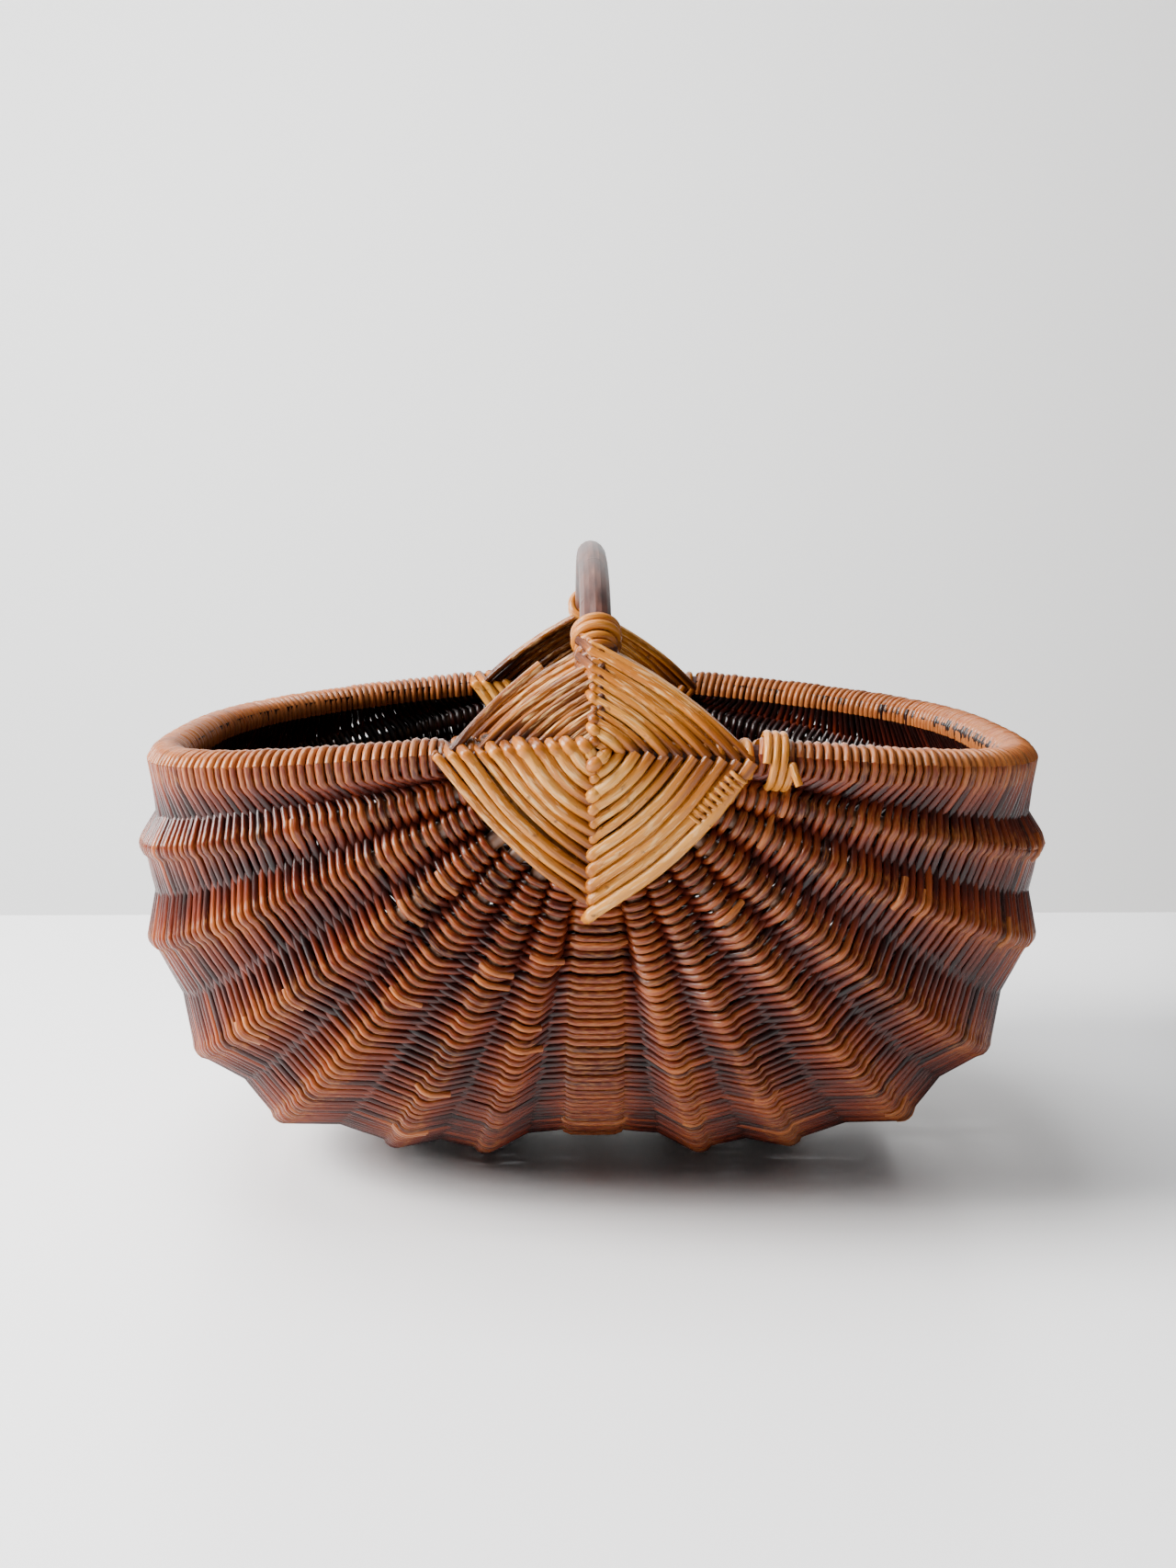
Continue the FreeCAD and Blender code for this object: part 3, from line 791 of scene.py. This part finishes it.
def arm_turns(arm, radius):
    """The rods' turns round an arm, seen from above and from the side."""
    paths = []
    for ring in range(EYE_RINGS):
        middle = arm.middle(ring)
        after = arm.middle(ring + 0.5)
        along = (after - arm.middle(ring - 0.5)).normalized()
        first = along.cross(Vector((0, 1, 0))).normalized()
        second = along.cross(first).normalized()
        reach = arm.half_thickness + radius * 0.15
        pitch = along * (arm.reach / EYE_RINGS)
        points = []
        for step in range(TURN_STEPS + 1):
            turn = math.tau * step / TURN_STEPS
            points.append(middle + (first * math.cos(turn) + second * math.sin(turn)) * reach
                          + pitch * (step / TURN_STEPS - 0.5))
        count = len(points)
        paths.append((points, [radius] * count, chance.uniform(0.2, 1.0), [0.3] * count))
    return paths


WRAP_ROD = 0.0018
WRAP_TURNS = 3
WRAP_START = 0.0705             # length along the right rim
WRAP_LENGTH = 0.0105
WRAP_STUB = Vector((0.001, -0.0006, -0.0028))


def light_wrap():
    """Pale turns round the right rim beside the near lashing, and the stub they end in."""
    reach = RIM_ROD + 2 * WEAVER + WRAP_ROD * 0.7
    steps = WRAP_TURNS * TURN_STEPS
    points = []
    for step in range(steps + 1):
        length = WRAP_START + WRAP_LENGTH * step / steps
        turn = math.tau * WRAP_TURNS * step / steps
        across = RIGHT_RIM.normal(length) * math.cos(turn) + RIGHT_RIM.sideways * math.sin(turn)
        points.append(RIGHT_RIM.at(length) + across * reach)
    points += [points[-1] + WRAP_STUB * step for step in (1, 2, 3)]
    return [(points, [WRAP_ROD] * len(points), 0.8, [0.7] * len(points))]


def make_eye(name, far, node):
    arms = eye_arms(far)
    paths = []
    for inside in (False, True):
        for low, top, radius, lift, darkest, lightest in QUADRANTS:
            for ring in range(EYE_RINGS):
                thick = radius * chance.uniform(0.74, 1.14)
                tone = chance.uniform(darkest, lightest)
                rod = eye_rod(arms[low], arms[top], ring, inside, thick, tone, lift)
                if not far and not inside and (low, top) == SNAPPED_SIDE:
                    if ring == SNAPPED_RING - 1:
                        continue
                    if ring == SNAPPED_RING:
                        rod = snapped(rod)
                paths.append(rod)
    for arm in arms:
        paths += arm_turns(arm, ARM_TURN_ROD)
    if not far:
        paths += light_wrap()
    piece = rods(name, paths, HONEY, sides=10, steps=5)
    place(piece, "lashing_willow", node)


COLLAR_ROD = 0.0022
COLLAR_START = EYE_UP * 1.03    # length up the bow
COLLAR_TURNS = 2.2
COLLAR_PITCH = 0.0042
COLLAR_STEPS = 40
COLLAR_TANGENT_STEP = 0.002
COLLAR_END = Vector((0.002, 0, 0.001))
COLLAR_END_OUT = 0.003


def make_collar(name, far, node):
    """Last turns of the lashing round the foot of the bow, with a short twisted end."""
    reach = HOOP_ROD + COLLAR_ROD * 0.9
    nearby = COLLAR_TANGENT_STEP
    points = []
    for step in range(COLLAR_STEPS):
        turns = COLLAR_TURNS * step / COLLAR_STEPS
        length = COLLAR_START + COLLAR_PITCH * turns
        position = BOW.length - length if far else length
        middle = BOW.at(position)
        along = (BOW.at(position + nearby) - BOW.at(position - nearby)).normalized()
        first = Vector((1, 0, 0))
        second = along.cross(first)
        turn = math.tau * turns
        points.append(middle + (first * math.cos(turn) + second * math.sin(turn)) * reach)
    out = (points[-1] - BOW.at(COLLAR_START)).normalized()
    points.append(points[-1] + out * COLLAR_END_OUT + COLLAR_END)
    path = (points, [COLLAR_ROD] * len(points), 0.75, [0.6] * len(points))
    piece = rods(name, [path], HONEY, sides=10, steps=3)
    place(piece, "lashing_willow", node)


BINDING_ROD = 0.0011
BINDING_REACH = 0.0040
BINDING_TURNS = 9
BINDING_SPAN = (0.62, 0.93)     # shares of the rod from the keel to the rim
BINDING_LIFTS = (0.003, 0.0026)     # the rod's middle over the keel and over the rim


def make_tail_binding():
    """Thin turns round the lashing's outermost lower right rod."""
    arms = eye_arms(False)
    low = arms[3].face(EYE_RINGS - 1, False, BINDING_LIFTS[0])
    high = arms[2].face(EYE_RINGS - 1, False, BINDING_LIFTS[1])
    along = (high - low).normalized()
    side = along.cross(Vector((0, 1, 0))).normalized()
    front = along.cross(side)
    start = low.lerp(high, BINDING_SPAN[0])
    finish = low.lerp(high, BINDING_SPAN[1])
    steps = BINDING_TURNS * TURN_STEPS
    points = []
    for step in range(steps + 1):
        turn = math.tau * BINDING_TURNS * step / steps
        points.append(start.lerp(finish, step / steps)
                      + (side * math.cos(turn) + front * math.sin(turn)) * BINDING_REACH)
    path = (points, [BINDING_ROD] * len(points), 0.8, [0.7] * len(points))
    piece = rods("tail_binding", [path], HONEY, sides=8, steps=1)
    place(piece, "lashing_willow", "near_tail_binding")


# ---- carried-over nodes --------------------------------------------------------------------------

def paint_node(name, material):
    mesh = NODES[name].data
    mesh.materials.clear()
    mesh.materials.append(material)


def paint_frame():
    paint_node("rim_hoop", BARK)
    paint_node("handle_hoop", BARK)
    for name in NODES:
        if name.startswith("rib_"):
            paint_node(name, RIB)


# ---- stage, lights and camera --------------------------------------------------------------------

# Strength of the wall's painted glow: the wall glows though it is no lamp.
WALL_GLOW = 1.0
FLOOR_END = 0.56                # the floor stops here, and the wall stands well behind it
WALL_BACK = 2.6
WALL_HALF_VIEW = 1.1            # the wall's painted glow fades from bright to dim over this much to each side
SHEET_HALF = 6
# Where the dark sheet that stands in for shade on the right stands.
DARK_SIDE = 1.15


def stage_material(name, colour, roughness):
    paint = Paint(name)
    paint.shader.inputs["Base Color"].default_value = (*colour, 1)
    paint.shader.inputs["Roughness"].default_value = roughness
    return paint.material


def wall_material():
    """A pale wall that glows with painted light, brighter towards the window and dimmer to the
    right.
    """
    paint = Paint("wall_painted_glow", Roughness=0.9, Emission_Strength=WALL_GLOW)
    paint.shader.inputs["Base Color"].default_value = (0.86, 0.86, 0.86, 1)
    share = paint.limit(paint.axis(paint.place(), 0), -WALL_HALF_VIEW, WALL_HALF_VIEW)
    paint.feed(paint.shader.inputs["Emission Color"],
               paint.ramp(share, [(0.0, (0.98, 1.0, 1.0)), (1.0, (0.46, 0.45, 0.44))]))
    return paint.material


def sheet_of(name, corners, material):
    mesh = bpy.data.meshes.new(name)
    mesh.from_pydata(corners, [], [tuple(range(len(corners)))])
    mesh.materials.append(material)
    made = bpy.data.objects.new(name, mesh)
    bpy.context.scene.collection.objects.link(made)
    return made


def make_stage():
    half = SHEET_HALF
    sheet_of("floor",
             [(-half, -half, 0), (half, -half, 0), (half, FLOOR_END, 0), (-half, FLOOR_END, 0)],
             stage_material("pale_floor", (0.89, 0.89, 0.90), 0.30))
    sheet_of("wall",
             [(-half, WALL_BACK, -3), (half, WALL_BACK, -3), (half, WALL_BACK, 6),
              (-half, WALL_BACK, 6)],
             wall_material())
    # A dark sheet, hidden from the camera, standing in for shade on the right: it darkens the
    # basket's right side and its reflections.
    shade_sheet = sheet_of("shade_sheet",
                         [(DARK_SIDE, -3, -1), (DARK_SIDE, 3, -1), (DARK_SIDE, 3, 4),
                          (DARK_SIDE, -3, 4)],
                         stage_material("shade_sheet", (0.03, 0.03, 0.03), 0.9))
    shade_sheet.visible_camera = False


def area_light(name, place_at, target, width, height, power, colour):
    data = bpy.data.lights.new(name, "AREA")
    data.shape = "RECTANGLE"
    data.size = width
    data.size_y = height
    data.energy = power
    data.color = colour
    light = bpy.data.objects.new(name, data)
    light.location = place_at
    direction = Vector(target) - Vector(place_at)
    light.rotation_euler = direction.to_track_quat("-Z", "Y").to_euler()
    bpy.context.scene.collection.objects.link(light)


def make_lights():
    middle = (0, 0, 0.15)
    area_light("window", (-2.1, -0.45, 1.35), middle, 1.2, 1.5, 270, (1.0, 0.985, 0.965))
    area_light("overhead", (-0.6, 0.1, 2.4), middle, 1.4, 1.2, 66, (0.97, 0.985, 1.0))
    world = bpy.data.worlds.new("room")
    world.use_nodes = True
    world.node_tree.nodes["Background"].inputs["Color"].default_value = (0.95, 0.97, 1.0, 1)
    world.node_tree.nodes["Background"].inputs["Strength"].default_value = 0.18
    bpy.context.scene.world = world


CAMERA_PLACE = (-0.0146, -1.005, AXIS_HEIGHT + 0.0946)
CAMERA_YAW = math.radians(0.75)
CAMERA_PITCH = math.radians(7.69)


def make_camera():
    data = bpy.data.cameras.new("camera")
    data.sensor_fit = "VERTICAL"
    data.sensor_height = 36.0
    data.lens = 45.0
    camera = bpy.data.objects.new("camera", data)
    camera.location = CAMERA_PLACE
    level = math.cos(CAMERA_PITCH)
    look = Vector((math.sin(CAMERA_YAW) * level, math.cos(CAMERA_YAW) * level,
                   -math.sin(CAMERA_PITCH)))
    camera.rotation_euler = look.to_track_quat("-Z", "Y").to_euler()
    bpy.context.scene.collection.objects.link(camera)
    bpy.context.scene.camera = camera


make_camera()
make_stage()
make_lights()
paint_frame()
make_weave()
make_eye("near_eye", False, "near_eye_lashing")
make_eye("far_eye", True, "far_eye_lashing")
make_collar("near_collar_turns", False, "near_handle_collar")
make_collar("far_collar_turns", True, "far_handle_collar")
make_tail_binding()
